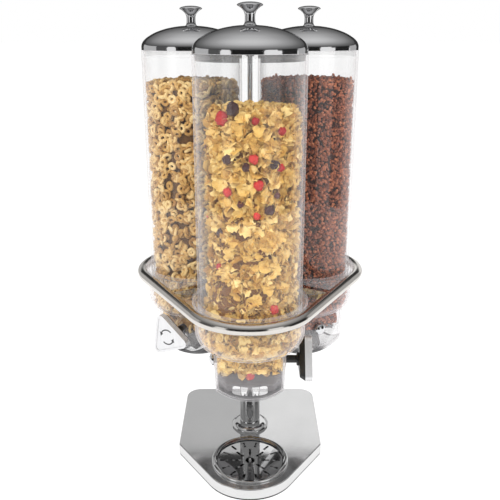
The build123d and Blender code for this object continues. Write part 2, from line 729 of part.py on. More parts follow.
# Lid knob: trumpet shape turned from bar, with a slim stem and a domed top
knob_foot = lid_apex + seating_gap
knob_top = knob_foot + lid_knob_height
flare_low = knob_foot + lid_knob_flare_start
flare_high = flare_low + lid_knob_edge
top_rim = lid_knob_radius - lid_knob_edge / 5
top_ball = dome_ball(top_rim, knob_top - flare_high)
foot_middle = knob_foot + lid_knob_foot_curve_height
stem_low = knob_foot + lid_knob_stem_start
stem_high = knob_foot + lid_knob_stem_end
flare_middle = (stem_high + flare_low) / 2 + lid_knob_flare_curve_rise
with BuildPart() as lid_knob:
    with BuildSketch(unit_section):
        with BuildLine():
            Line((0, knob_foot), (lid_knob_foot_radius, knob_foot))
            Line((lid_knob_foot_radius, knob_foot), (lid_knob_foot_radius, knob_foot + lid_knob_foot_edge))
            ThreePointArc((lid_knob_foot_radius, knob_foot + lid_knob_foot_edge),
                          (lid_knob_stem_radius + lid_knob_foot_curve, foot_middle),
                          (lid_knob_stem_radius, stem_low))
            Line((lid_knob_stem_radius, stem_low), (lid_knob_stem_radius, stem_high))
            ThreePointArc((lid_knob_stem_radius, stem_high),
                          (lid_knob_stem_radius + lid_knob_flare_curve, flare_middle),
                          (top_rim, flare_low))
            ThreePointArc((top_rim, flare_low), (lid_knob_radius, flare_low + lid_knob_edge / 2),
                          (top_rim, flare_high))
            ThreePointArc((top_rim, flare_high), (top_rim / 2, knob_top - dome_drop(top_ball, top_rim / 2)),
                          (0, knob_top))
            Line((0, knob_top), (0, knob_foot))
        make_face()
    revolve(axis=unit_axis)
    with BuildSketch(Plane.XY.offset(knob_foot)):
        with Locations((0, -unit_radius)):
            Circle(lid_screw_radius + seating_gap)
    extrude(amount=lid_screw_length - lid_sheet, mode=Mode.SUBTRACT)
keep_units(lid_knob, "lid_knob")

# Lid screw: pan head under the dome that holds the knob
screw_seat = inside_apex - dome_drop(inside_ball, lid_screw_head_radius) - seating_gap
with BuildPart() as lid_screw:
    with BuildSketch(Plane.XY.offset(screw_seat)):
        with Locations((0, -unit_radius)):
            Circle(lid_screw_head_radius)
    extrude(amount=-lid_screw_head_height)
    with BuildSketch(Plane.XY.offset(screw_seat)):
        with Locations((0, -unit_radius)):
            Circle(lid_screw_radius)
    extrude(amount=lid_screw_length - 2 * lid_sheet)
keep_units(lid_screw, "lid_screw")

print("unit at", unit_radius, "ring centre", round(ring_z, 2), "shaft height", round(shaft_z, 2))
print("total height", round(knob_top, 2))
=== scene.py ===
# %% [markdown]
# A triple cereal dispenser for a buffet: three clear jars with polished lids hang in a bent-bar carrier
# on a polished post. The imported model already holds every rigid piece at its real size, so this lesson
# is about finishes: mirror steel, clear and smoked plastic, rubber and satin metal. All lengths are metres.

# %% Load the frame
import json
from math import cos, pi, radians, sin

import bpy
import numpy as np
from mathutils import Matrix, Vector


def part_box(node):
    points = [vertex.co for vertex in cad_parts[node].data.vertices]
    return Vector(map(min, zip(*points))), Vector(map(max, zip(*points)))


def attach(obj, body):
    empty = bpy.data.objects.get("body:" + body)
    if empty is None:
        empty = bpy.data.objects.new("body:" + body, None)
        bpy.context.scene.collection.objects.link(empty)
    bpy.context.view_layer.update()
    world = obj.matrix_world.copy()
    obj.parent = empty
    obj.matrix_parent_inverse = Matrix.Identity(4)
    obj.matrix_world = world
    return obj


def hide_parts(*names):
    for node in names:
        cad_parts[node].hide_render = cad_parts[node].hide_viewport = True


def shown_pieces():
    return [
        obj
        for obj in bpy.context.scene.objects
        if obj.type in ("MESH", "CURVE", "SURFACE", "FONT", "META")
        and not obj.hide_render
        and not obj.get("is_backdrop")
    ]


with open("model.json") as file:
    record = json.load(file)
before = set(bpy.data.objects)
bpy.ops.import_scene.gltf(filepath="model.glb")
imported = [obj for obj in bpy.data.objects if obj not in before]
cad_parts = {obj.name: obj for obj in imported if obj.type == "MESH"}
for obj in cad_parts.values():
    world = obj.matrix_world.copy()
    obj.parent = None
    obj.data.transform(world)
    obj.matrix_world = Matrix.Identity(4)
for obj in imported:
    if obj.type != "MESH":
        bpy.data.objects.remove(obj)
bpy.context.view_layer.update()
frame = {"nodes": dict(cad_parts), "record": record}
nodes = frame["nodes"]

# %% [markdown]
# Each unit is the front one turned about the post. It is handy to have one matrix for each unit, so that
# a detail is drawn once, in front-unit coordinates, and placed three times. The distance from the post to
# a jar could be typed in, but reading it from the jar's box keeps the scene tied to the frame.

# %% Places of the three units
unit_turns = {"front": 0.0, "right": 120.0, "left": 240.0}
rotor_rest_turns = {"front": 0.0, "right": 45.0, "left": 22.0}
jar_low, jar_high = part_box("front_jar")
lid_low, lid_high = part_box("front_lid")
_, knob_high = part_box("front_knob_face")
shaft_low, shaft_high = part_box("front_rotor_shaft")
unit_distance = -(jar_low.y + jar_high.y) / 2
jar_radius = (jar_high.x - jar_low.x) / 2
shaft_height = (shaft_low.z + shaft_high.z) / 2


def unit_matrix(unit):
    """From a unit's own axis, with its outlet side at -Y, to its place round the post."""
    return Matrix.Rotation(radians(unit_turns[unit]), 4, "Z") @ Matrix.Translation((0, -unit_distance, 0))


print("post to jar", round(unit_distance, 4), "jar radius", round(jar_radius, 4))
print("shaft height", round(shaft_height, 4))

# %% [markdown]
# Shader maths reads badly as a web of nodes. One small class wraps a socket, so that a mask can be written
# as an expression. Numbers alone are still worked out in Python, and only values that vary get a Math node.

# %% Shader maths as Python expressions


class Value:
    """One output in a material's node tree."""

    def __init__(self, sheet, socket):
        self.sheet = sheet
        self.socket = socket

    def math(self, operation, first, second):
        return self.sheet.node("ShaderNodeMath", {"operation": operation}, {0: first, 1: second})

    def __add__(self, other):
        return self.math("ADD", self, other)

    def __sub__(self, other):
        return self.math("SUBTRACT", self, other)

    def __rsub__(self, other):
        return self.math("SUBTRACT", other, self)

    def __mul__(self, other):
        return self.math("MULTIPLY", self, other)

    def __pow__(self, other):
        return self.math("POWER", self, other)

    __radd__ = __add__
    __rmul__ = __mul__


class Sheet:
    """A node tree that can be written on."""

    def __init__(self, tree):
        self.tree = tree

    def node(self, kind, settings=None, sockets=None, out=0):
        made = self.tree.nodes.new(kind)
        for name, setting in (settings or {}).items():
            if name == "stops":
                ramp = made.color_ramp.elements
                while len(ramp) < len(setting):
                    ramp.new(0.5)
                for element, (place, tone) in zip(ramp, setting):
                    element.position = place
                    element.color = (*tone, 1.0) if isinstance(tone, tuple) else (tone, tone, tone, 1.0)
            else:
                setattr(made, name, setting)
        for name, given in (sockets or {}).items():
            if isinstance(given, Value):
                self.tree.links.new(given.socket, made.inputs[name])
            else:
                made.inputs[name].default_value = given
        return Value(self, made.outputs[out])

    def noise(self, place, scale, detail=3.0):
        return self.node("ShaderNodeTexNoise", sockets={"Vector": place, "Scale": scale, "Detail": detail})

    def stretched(self, place, scale):
        return self.node("ShaderNodeVectorMath", {"operation": "MULTIPLY"}, {0: place, 1: scale})

    def blend(self, share, first, second):
        return self.node("ShaderNodeMix", {"data_type": "RGBA"}, {0: share, 6: first, 7: second}, out=2)


class Finish(Sheet):
    """A material with one Principled shader. Constants are set on its own sockets."""

    def __init__(self, name, **constants):
        self.material = bpy.data.materials.new(name)
        self.material.use_nodes = True
        super().__init__(self.material.node_tree)
        self.shader = self.tree.nodes["Principled BSDF"]
        for socket, constant in constants.items():
            self.shader.inputs[socket.replace("_", " ")].default_value = constant
        self.place = self.node("ShaderNodeTexCoord", out="Object")

    def feed(self, socket, given):
        self.tree.links.new(given.socket, self.shader.inputs[socket])

    def tint(self, share, first, second):
        """Base colour between two tones."""
        self.feed("Base Color", self.blend(share, (*first, 1.0), (*second, 1.0)))

    def bump(self, height, strength, distance):
        sockets = {"Strength": strength, "Distance": distance, "Height": height}
        self.feed("Normal", self.node("ShaderNodeBump", sockets=sockets))


print("shader helpers ready")

# %% [markdown]
# Polished steel is a mirror that has been handled. A plain metallic shader looks computer-made, because
# real polishing leaves a faint cloudiness and the hand leaves wipe marks. One noise clouds the roughness a
# little, and a second, long and thin, gives the drag of the polishing mop. The bump stays very low, so
# that reflections bend slightly and don't break up.

# %% Polished metals
cloud_scale = 22.0
cloud_detail = 4.0
wipe_stretch = (40.0, 40.0, 260.0)
wipe_scale = 3.0
wipe_detail = 2.0
wipe_bump = 0.05
wipe_depth = 0.0002
dull_share = 0.9


def polished_metal(name, tone, roughness, cloud, drag, metallic=1.0):
    finish = Finish(name, Metallic=metallic)
    clouds = finish.noise(finish.place, cloud_scale, cloud_detail)
    wipes = finish.noise(finish.stretched(finish.place, wipe_stretch), wipe_scale, wipe_detail)
    finish.tint(clouds, tone, tuple(part * dull_share for part in tone))
    finish.feed("Roughness", roughness + clouds * cloud + wipes * drag)
    finish.bump(wipes, wipe_bump, wipe_depth)
    return finish.material


mirror_steel = polished_metal("mirror_steel", (0.80, 0.80, 0.80), roughness=0.015, cloud=0.05, drag=0.02)
lid_chrome = polished_metal("lid_chrome", (0.76, 0.76, 0.77), roughness=0.05, cloud=0.05, drag=0.02)
base_steel = polished_metal("base_steel", (0.76, 0.76, 0.76), roughness=0.05, cloud=0.08, drag=0.04,
                            metallic=0.94)
ring_steel = polished_metal("ring_steel", (0.72, 0.69, 0.65), roughness=0.09, cloud=0.06, drag=0.05)
hidden_steel = polished_metal("hidden_steel", (0.50, 0.50, 0.51), roughness=0.28, cloud=0.12, drag=0.10)
print("metals", [metal.name for metal in (mirror_steel, lid_chrome, base_steel, ring_steel, hidden_steel)])

# %% [markdown]
# The knob plate is satin aluminium: brushed in one direction, then anodised. Long thin noise across the
# plate gives the brush lines, both as roughness and as a fine bump.

# %% Satin metal of the knob plates
brush_stretch = (900.0, 900.0, 40.0)
brush_roughness = 0.34
brush_spread = 0.18
brush_bump = 0.12
brush_depth = 0.0001
satin = Finish("satin_metal", Metallic=0.6)
lines = satin.noise(satin.stretched(satin.place, brush_stretch), 1.0)
satin.tint(lines, (0.86, 0.86, 0.87), (0.70, 0.70, 0.71))
satin.feed("Roughness", brush_roughness + lines * brush_spread)
satin.bump(lines, brush_bump, brush_depth)
satin_metal = satin.material
print("satin metal", satin_metal.name)

# %% [markdown]
# Clear jars could be real refracting plastic. That is right for a thick block, but a thin wall bends light
# very little, and the refraction noise would hide the cereal behind four walls. So the wall is mostly see
# through, and where the eye grazes it, it turns into a pale, faintly pink edge, as acrylic does. Layer
# Weight gives that edge. The mirror is a second shader that Fresnel mixes in. It is held to a twentieth,
# because at its edge a jar would otherwise mirror the dark cards of the set and get a black outline.

# %% Clear plastic
acrylic_ior = 1.49
mirror_share = 0.5
most_mirror = 0.05
mirror_tone = (0.95, 0.95, 0.95, 1.0)
edge_blend = 0.5
haze_scale = 60.0
haze_spread = 0.03


class ClearFinish(Finish):
    """See-through plastic: a body that dress() covers, under a mirror that grows towards the edge."""

    def __init__(self, name, sharpness, roughness):
        super().__init__(name, Roughness=0.5)
        facing = self.node("ShaderNodeLayerWeight", sockets={"Blend": edge_blend}, out="Facing")
        self.edge = facing ** sharpness
        haze = self.noise(self.place, haze_scale)
        gloss = self.node("ShaderNodeBsdfPrincipled", sockets={
            "Metallic": 1.0, "Base Color": mirror_tone, "Roughness": roughness + haze * haze_spread})
        fresnel = self.node("ShaderNodeFresnel", sockets={"IOR": acrylic_ior}) * mirror_share
        mirror = fresnel.math("MINIMUM", fresnel, most_mirror)
        body = Value(self, self.shader.outputs[0])
        both = self.node("ShaderNodeMixShader", sockets={0: mirror, 1: body, 2: gloss})
        self.tree.links.new(both.socket, self.tree.nodes["Material Output"].inputs["Surface"])

    def dress(self, share, tint, edge_tint, cover):
        """Colour, and how much of what is behind is covered."""
        self.tint(share, tint, edge_tint)
        self.feed("Alpha", cover)
        return self.material


def clear_plastic(name, tint, edge_tint, least, most, sharpness, roughness):
    """Covers least where it faces the eye and most at its edge."""
    finish = ClearFinish(name, sharpness, roughness)
    return finish.dress(finish.edge, tint, edge_tint, least + finish.edge * (most - least))


jar_plastic = clear_plastic("jar_plastic", (0.97, 0.96, 0.97), (0.86, 0.80, 0.82),
                            least=0.012, most=0.42, sharpness=3.6, roughness=0.015)
hopper_plastic = clear_plastic("hopper_plastic", (0.93, 0.90, 0.92), (0.84, 0.79, 0.81),
                               least=0.03, most=0.55, sharpness=2.6, roughness=0.02)
trough_plastic = clear_plastic("trough_plastic", (0.62, 0.56, 0.58), (0.50, 0.46, 0.48),
                               least=0.03, most=0.25, sharpness=2.0, roughness=0.05)
seal_silicone = clear_plastic("seal_silicone", (0.95, 0.95, 0.95), (0.88, 0.88, 0.88),
                              least=0.05, most=0.16, sharpness=1.5, roughness=0.25)
print("clear", [made.name for made in (jar_plastic, hopper_plastic, trough_plastic, seal_silicone)])

# %% [markdown]
# The outlet bowl is clear plastic. Its half towards the post is painted dark grey and nearly opaque: painted
# shade and painted dark reflection, which is what the side units' bowls show on that side. The serving side
# stays clear, so that the paddles show through. The distance from the post tells the two apart, and the same
# expression works for all three units.

# %% Outlet bowl with a painted dark half
# Nearer the post than this the bowl is painted dark, with the tone and cover below: painted shade and painted
# dark reflection. Farther out it is clear.
painted_shade_end = unit_distance + 0.017
painted_shade_fade = 0.012
painted_shade_tone = (0.09, 0.088, 0.093)
serving_tone = (0.80, 0.78, 0.80)
painted_shade_least, painted_shade_most = 0.80, 0.94
serving_least, serving_most = 0.04, 0.49
painted_shade_bowl = ClearFinish("smoked_plastic", sharpness=1.6, roughness=0.05)
across = painted_shade_bowl.stretched(painted_shade_bowl.place, (1.0, 1.0, 0.0))
from_post = painted_shade_bowl.node("ShaderNodeVectorMath", {"operation": "LENGTH"}, {0: across}, out="Value")
serving = painted_shade_bowl.node("ShaderNodeMapRange", {"clamp": True}, {
    "Value": from_post, "From Min": painted_shade_end, "From Max": painted_shade_end + painted_shade_fade,
    "To Min": 0.0, "To Max": 1.0})
painted_shade_cover = painted_shade_least + painted_shade_bowl.edge * (painted_shade_most - painted_shade_least)
serving_cover = serving_least + painted_shade_bowl.edge * (serving_most - serving_least)
# smoked_plastic keeps its slot name from model.json. Its dark half is painted shade and painted dark
# reflection on clear plastic.
smoked_plastic = painted_shade_bowl.dress(serving, painted_shade_tone, serving_tone,
                              painted_shade_cover * (1 - serving) + serving_cover * serving)
print("smoked from", round(painted_shade_end, 4), "to", round(painted_shade_end + painted_shade_fade, 4))

# %% [markdown]
# Black moulded plastic and the soft paddles differ in gloss and grain: the plastic has a spark-eroded
# grain, and the rubber is smoother, with a slight bloom. The grain is a bump, and the bloom varies colour
# and roughness together, since both come from the same film on the surface.

# %% Moulded plastic and rubber
bloom_scale = 45.0
bloom_spread = 0.12
grain_detail = 2.0
grain_bump = 0.25


def moulded(name, tone, light_tone, roughness, grain, depth):
    finish = Finish(name)
    speck = finish.noise(finish.place, grain, grain_detail)
    bloom = finish.noise(finish.place, bloom_scale)
    finish.tint(bloom, tone, light_tone)
    finish.feed("Roughness", roughness + bloom * bloom_spread)
    finish.bump(speck, grain_bump, depth)
    return finish.material


black_plastic = moulded("black_plastic", (0.012, 0.012, 0.012), (0.024, 0.024, 0.025),
                        roughness=0.28, grain=3000.0, depth=0.00006)
paddle_rubber = moulded("paddle_rubber", (0.020, 0.016, 0.015), (0.040, 0.032, 0.030),
                        roughness=0.42, grain=1800.0, depth=0.00010)
rubber_pad = moulded("rubber_pad", (0.018, 0.018, 0.018), (0.030, 0.030, 0.031),
                     roughness=0.70, grain=1400.0, depth=0.00020)
bush_plastic = moulded("bush_plastic", (0.74, 0.74, 0.70), (0.82, 0.82, 0.79),
                       roughness=0.50, grain=1500.0, depth=0.00008)
print("moulded", [made.name for made in (black_plastic, paddle_rubber, rubber_pad, bush_plastic)])

# %% [markdown]
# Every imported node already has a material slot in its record. The scene keeps that sorting and only says
# which finish stands for which slot. A few nodes share a record slot but look different, so they are
# named one by one.

# %% Give each node its finish
slot_finish = {
    "mirror_steel": mirror_steel, "lid_chrome": lid_chrome, "plain_steel": hidden_steel,
    "satin_metal": satin_metal, "clear_plastic": hopper_plastic, "smoked_plastic": smoked_plastic,
    "black_plastic": black_plastic, "bush_plastic": bush_plastic, "paddle_rubber": paddle_rubber,
    "rubber_pad": rubber_pad, "seal_silicone": seal_silicone,
}
own_finish = {"base_pan": base_steel, "carousel_hub": mirror_steel, "carrier_ring": ring_steel}
for unit in unit_turns:
    own_finish[f"{unit}_jar"] = jar_plastic
    own_finish[f"{unit}_rotor_trough"] = trough_plastic
for row in frame["record"]["subparts"]:
    piece = nodes[row["node"]]
    finish = own_finish.get(row["node"], slot_finish[row["material_slot"]])
    piece.data.materials.clear()
    piece.data.materials.append(finish)

# %% [markdown]
# A lid is spun from one sheet: a straight skirt, a soft shoulder and a shallow dome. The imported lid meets
# its skirt at a sharper corner, so a spun profile stands in for it here. Its trumpet knob flares in one
# long curve to a thin rim. Both are lathe work: a short list of radii and heights, smoothed by a spline and
# swept round the axis. A lid's heights start at its seat, and a knob's at the top of the dome.

# %% Spin the lids and their knobs
lid_seat = lid_low.z
knob_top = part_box("front_lid_knob")[1].z
lid_radius = (lid_high.x - lid_low.x) / 2
lid_sheet = 0.0012
lid_rise = 0.0296
knob_height = knob_top - lid_seat - lid_rise
stem_radius = 0.0056
turns_round = 160
steps_between = 4
lid_profile = ((lid_radius, 0.0), (lid_radius, 0.0022), (lid_radius, 0.0044), (lid_radius - 0.0005, 0.0068),
               (lid_radius - 0.0020, 0.0098), (lid_radius - 0.0049, 0.0131), (lid_radius - 0.0100, 0.0168),
               (lid_radius - 0.0185, 0.0213), (0.0330, 0.0257), (0.0190, 0.0284), (0.0080, lid_rise - 0.0002),
               (0.0, lid_rise))
knob_profile = ((0.0082, -0.0006), (0.0068, 0.0006), (0.0059, 0.0026), (stem_radius, 0.0060),
                (stem_radius, 0.0090), (0.0059, 0.0115), (0.0069, 0.0140), (0.0087, 0.0163), (0.0112, 0.0184),
                (0.0140, 0.0200), (0.0143, 0.0205), (0.0141, 0.0211), (0.0125, 0.0222), (0.0085, 0.0233),
                (0.0040, knob_height - 0.0001), (0.0, knob_height))


def splined(profile):
    """The profile's points, with more between them on a smooth curve through all of them."""
    line = [Vector(point) for point in profile]
    smooth = []
    for i in range(len(line) - 1):
        before, here = line[max(i - 1, 0)], line[i]
        there, after = line[i + 1], line[min(i + 2, len(line) - 1)]
        for step in range(steps_between):
            t = step / steps_between
            smooth.append(0.5 * (2 * here + (there - before) * t
                                 + (2 * before - 5 * here + 4 * there - after) * t ** 2
                                 + (3 * here - before - 3 * there + after) * t ** 3))
    return smooth


def spun(name, profile, base):
    """A surface of revolution that closes on its axis."""
    smooth = splined(profile)
    points = [(p.x * cos(2 * pi * k / turns_round), p.x * sin(2 * pi * k / turns_round), base + p.y)
              for p in smooth for k in range(turns_round)]
    points.append((0.0, 0.0, base + Vector(profile[-1]).y))
    faces = []
    for row in range(len(smooth) - 1):
        low, high = row * turns_round, (row + 1) * turns_round
        for k in range(turns_round):
            following = (k + 1) % turns_round
            faces.append((low + k, low + following, high + following, high + k))
    last = (len(smooth) - 1) * turns_round
    faces += [(last + k, last + (k + 1) % turns_round, len(points) - 1) for k in range(turns_round)]
    mesh = bpy.data.meshes.new(name)
    mesh.from_pydata(points, [], faces)
    return mesh


for unit in unit_turns:
    shell = bpy.data.objects.new(f"{unit}_lid_shell", spun("lid_shell", lid_profile, lid_seat))
    sheet = shell.modifiers.new("sheet", "SOLIDIFY")
    sheet.thickness = lid_sheet
    sheet.offset = -1.0
    trumpet_mesh = spun("lid_trumpet", knob_profile, lid_seat + lid_rise)
    trumpet = bpy.data.objects.new(f"{unit}_lid_trumpet", trumpet_mesh)
    for piece, stands_for in ((shell, f"{unit}_lid"), (trumpet, f"{unit}_lid_knob")):
        piece.data.transform(unit_matrix(unit))
        piece.data.materials.append(lid_chrome)
        bpy.context.scene.collection.objects.link(piece)
        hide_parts(stands_for)
        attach(piece, f"{unit}_lid")
print("lid rise", lid_rise, "knob height", round(knob_height, 4))

# %% [markdown]
# Each turning knob carries a sign that says it turns both ways. A plain pair of bent arrows, cut from dark
# foil, lies in the sunk field of the plate. It could be painted by the shader, but real thin shapes stay
# sharp and are kept in the mesh.

# %% Turn arrows on the knob plates
arrow_radius = 0.0105
arrow_width = 0.0016
arrow_thickness = 0.00025
arrow_head = 0.0052
arrow_head_half = arrow_head * 0.55
arrow_sweep = 100.0
arrow_starts = (30.0, 210.0)
arrow_steps = 20
field_depth = 0.0008
foil_scale = 400.0
foil_roughness = 0.3
foil_spread = 0.2


def on_circle(radius, angle):
    return radius * cos(angle), radius * sin(angle)


def arrow_outline(start):
    """Points of one bent arrow in the plate's own plane, outer side first."""
    angles = [radians(start + arrow_sweep * step / arrow_steps) for step in range(arrow_steps + 1)]
    end = angles[-1]
    outer = [on_circle(arrow_radius + arrow_width / 2, angle) for angle in angles]
    inner = [on_circle(arrow_radius - arrow_width / 2, angle) for angle in angles]
    head = [on_circle(arrow_radius + arrow_head_half, end),
            on_circle(arrow_radius, end + arrow_head / arrow_radius),
            on_circle(arrow_radius - arrow_head_half, end)]
    return outer + head + inner[::-1]


def plate_mesh(name, outlines, thickness):
    """Thin plates that stand on x = 0, from outlines in the plane of y and z."""
    points, faces = [], []
    for outline in outlines:
        first, count = len(points), len(outline)
        points += [(0.0, u, v) for u, v in outline] + [(thickness, u, v) for u, v in outline]
        faces.append([first + i for i in range(count)][::-1])
        faces.append([first + count + i for i in range(count)])
        for i in range(count):
            following = (i + 1) % count
            faces.append([first + i, first + following, first + count + following, first + count + i])
    mesh = bpy.data.meshes.new(name)
    mesh.from_pydata(points, [], faces)
    return mesh


foil = Finish("arrow_foil")
foil_wear = foil.noise(foil.place, foil_scale)
foil.tint(foil_wear, (0.015, 0.015, 0.016), (0.05, 0.05, 0.052))
foil.feed("Roughness", foil_roughness + foil_wear * foil_spread)
plate_floor = knob_high.x - field_depth
for unit in unit_turns:
    outlines = [arrow_outline(start) for start in arrow_starts]
    arrows = bpy.data.objects.new(f"{unit}_knob_arrows", plate_mesh("knob_arrows", outlines, arrow_thickness))
    arrows.data.materials.append(foil.material)
    bpy.context.scene.collection.objects.link(arrows)
    spin = Matrix.Rotation(radians(rotor_rest_turns[unit]), 4, "X")
    arrows.matrix_world = unit_matrix(unit) @ Matrix.Translation((plate_floor, 0, shaft_height)) @ spin
    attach(arrows, f"{unit}_rotor")
print("arrows on", round(plate_floor, 4))

# %% [markdown]
# The cereal isn't part of the dispenser, so it is staged like the floor, but it makes the clear jars
# readable and it turns with the carrier. Thousands of loose objects would be slow. Instead a few small
# shapes are copied with numpy into one mesh for each jar, close to the wall where they can be seen, over a
# plain core. All draws come from one seeded generator, so that each run gives the same jar.

# %% The room inside a unit
draw = np.random.default_rng(28)
chute_top = 0.190
collar_bottom = 0.213
chute_half = 0.0415
squareness = 7
collar_inside = 0.0655
jar_inside = jar_radius - 0.0035
fill_bottom = shaft_height - 0.002
wall_gap = 0.0004


def reach(height, angle):
    """Distance from the unit's axis to the inner wall: round in the jar, square in the chute."""
    c, s = np.abs(np.cos(angle)), np.abs(np.sin(angle))
    square = chute_half / (c ** squareness + s ** squareness) ** (1 / squareness)
    share = np.clip((height - chute_top) / (collar_bottom - chute_top), 0, 1)
    shoulder = square + (collar_inside - square) * np.sqrt(1 - (1 - share) ** 2)
    return np.where(height < jar_low.z, shoulder, jar_inside)


print("fill from", round(fill_bottom, 3), "reach in the jar", round(float(reach(0.4, 0.0)), 4))

# %% [markdown]
# Each copy gets a place, a direction to face and a size. Turning one shape for all its copies at once is a
# single product of arrays. Copies that would poke through the wall have those points drawn back to it.

# %% Copy small shapes into one mesh
least_out = 1e-6


def turned(angles):
    """Rotation matrices from three arrays of angles about X, Y and Z."""
    (cx, cy, cz), (sx, sy, sz) = np.cos(angles), np.sin(angles)
    return np.stack([np.stack([cy * cz, sx * sy * cz - cx * sz, cx * sy * cz + sx * sz], -1),
                     np.stack([cy * sz, sx * sy * sz + cx * cz, cx * sy * sz - sx * cz], -1),
                     np.stack([-sy, sx * cy, cx * cy], -1)], -2)


def leaning(facing):
    """Matrices that turn a shape's flat side, its Z, outward."""
    lean = np.zeros((len(facing), 3, 3))
    c, s = np.cos(facing), np.sin(facing)
    lean[:, 0, 1], lean[:, 0, 2] = -s, c
    lean[:, 1, 1], lean[:, 1, 2] = c, s
    lean[:, 2, 0] = 1.0
    return lean


def kept_inside(points):
    """Points past the wall are drawn back to it."""
    out = np.hypot(points[:, 0], points[:, 1])
    room = reach(points[:, 2], np.arctan2(points[:, 1], points[:, 0])) - wall_gap
    points[:, :2] *= np.minimum(1.0, room / np.maximum(out, least_out))[:, None]
    return points


def scattered(name, shapes, places, facing, tilt, sizes, material):
    """One mesh of many copies. Each copy's flat side faces outward, give or take its tilt."""
    picks = draw.integers(0, len(shapes), len(places))
    spin = turned(np.stack([draw.normal(0, tilt, len(places)), draw.normal(0, tilt, len(places)),
                            draw.uniform(0, 2 * pi, len(places))]))
    frames = np.einsum("nij,njk->nik", leaning(facing), spin)
    points, faces, shades, first = [], [], [], 0
    for pick, (shape_points, shape_faces) in enumerate(shapes):
        chosen = np.nonzero(picks == pick)[0]
        copies = np.einsum("nij,mj->nmi", frames[chosen], shape_points) * sizes[chosen][:, None, None]
        points.append(kept_inside((copies + places[chosen][:, None, :]).reshape(-1, 3)))
        offsets = first + np.arange(len(chosen)) * len(shape_points)
        faces += (np.array(shape_faces)[None, :, :] + offsets[:, None, None]).reshape(-1, 4).tolist()
        shades.append(np.repeat(draw.random(len(chosen)), len(shape_points)))
        first += len(chosen) * len(shape_points)
    mesh = bpy.data.meshes.new(name)
    mesh.from_pydata(np.concatenate(points).tolist(), [], faces)
    shade = mesh.attributes.new("shade", "FLOAT", "POINT")
    shade.data.foreach_set("value", np.concatenate(shades).astype(np.float32))
    mesh.polygons.foreach_set("use_smooth", [True] * len(mesh.polygons))
    mesh.materials.append(material)
    return bpy.data.objects.new(name, mesh)


print("copying helpers ready")

# %% [markdown]
# Only the outer layer and the top of a fill can be seen. So pieces lie along the wall and on the heap, and
# a closed plug stands behind them, darker than the pieces: painted shade of the gaps between them. In the
# front jar the fill is narrower than the jar and a little to one side, and it widens again down at the
# jar's foot.

# %% Places, plug and staging
widening_height = 0.02
heap_rough = 0.0015
core_sides = 48
core_levels = 16


def wall_places(count, top, inset, spread, narrow=0.0, shift=0.0):
    """Random places just inside the wall, and the direction that each one faces."""
    heights = draw.uniform(fill_bottom, top, count)
    angles = draw.uniform(0, 2 * pi, count)
    radius = reach(heights, angles) - inset - spread * draw.random(count)
    in_jar = np.clip((heights - jar_low.z) / widening_height, 0, 1)
    radius -= narrow * in_jar
    return np.stack([radius * np.cos(angles) + shift * in_jar, radius * np.sin(angles), heights], -1), angles


def top_places(count, top, radius, heap, shift=0.0):
    """Random places on the heap's surface."""
    angles = draw.uniform(0, 2 * pi, count)
    out = radius * np.sqrt(draw.random(count))
    heights = top + heap * (1 - (out / radius) ** 2) + draw.normal(0, heap_rough, count)
    return np.stack([out * np.cos(angles) + shift, out * np.sin(angles), heights], -1), angles


def joined(*pairs):
    return np.concatenate([places for places, _ in pairs]), np.concatenate([facing for _, facing in pairs])


def core(name, top, inset, material, narrow=0.0, shift=0.0):
    """A plain closed plug behind the loose pieces. Its darker material is painted shade of the gaps between
    them.
    """
    levels = np.append(np.linspace(fill_bottom, jar_low.z, core_levels), top)
    angles = np.linspace(0, 2 * pi, core_sides, endpoint=False)
    points, faces = [], []
    for level in levels:
        in_jar = float(level > jar_low.z)
        out = reach(np.full(core_sides, level), angles) - inset - narrow * in_jar
        points += [(r * cos(a) + shift * in_jar, r * sin(a), level) for r, a in zip(out, angles)]
    for row in range(len(levels) - 1):
        low, high = row * core_sides, (row + 1) * core_sides
        for i in range(core_sides):
            j = (i + 1) % core_sides
            faces.append([low + i, low + j, high + j, high + i])
    last = (len(levels) - 1) * core_sides
    faces += [list(range(core_sides))[::-1], [last + i for i in range(core_sides)]]
    mesh = bpy.data.meshes.new(name)
    mesh.from_pydata(points, [], faces)
    mesh.materials.append(material)
    return bpy.data.objects.new(name, mesh)


def stage_in(unit, *things):
    """Contents turn with the carrier but aren't part of the dispenser."""
    for thing in things:
        bpy.context.scene.collection.objects.link(thing)
        thing.matrix_world = unit_matrix(unit)
        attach(thing, "carousel")
        thing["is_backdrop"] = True


print("fill helpers ready")

# %% [markdown]
# Baked cereal has warm flat colour with toasted edges. One finish serves all three jars: each piece's own
# random shade slides it along a ramp, and noise mottles the surface.

# %% Cereal finishes
own_shade_share = 0.62
mottle_share = 0.38
mottle_spread = 0.15
crumb_bump = 0.5
crumb_depth = 0.0006


def toasted(name, stops, roughness, mottle):
    finish = Finish(name)
    shade = finish.node("ShaderNodeAttribute", {"attribute_name": "shade"}, out="Fac")
    spots = finish.noise(finish.place, mottle)
    along = shade * own_shade_share + spots * mottle_share
    finish.feed("Base Color", finish.node("ShaderNodeValToRGB", {"stops": stops}, {0: along}))
    finish.feed("Roughness", roughness + spots * mottle_spread)
    finish.bump(spots, crumb_bump, crumb_depth)
    return finish.material


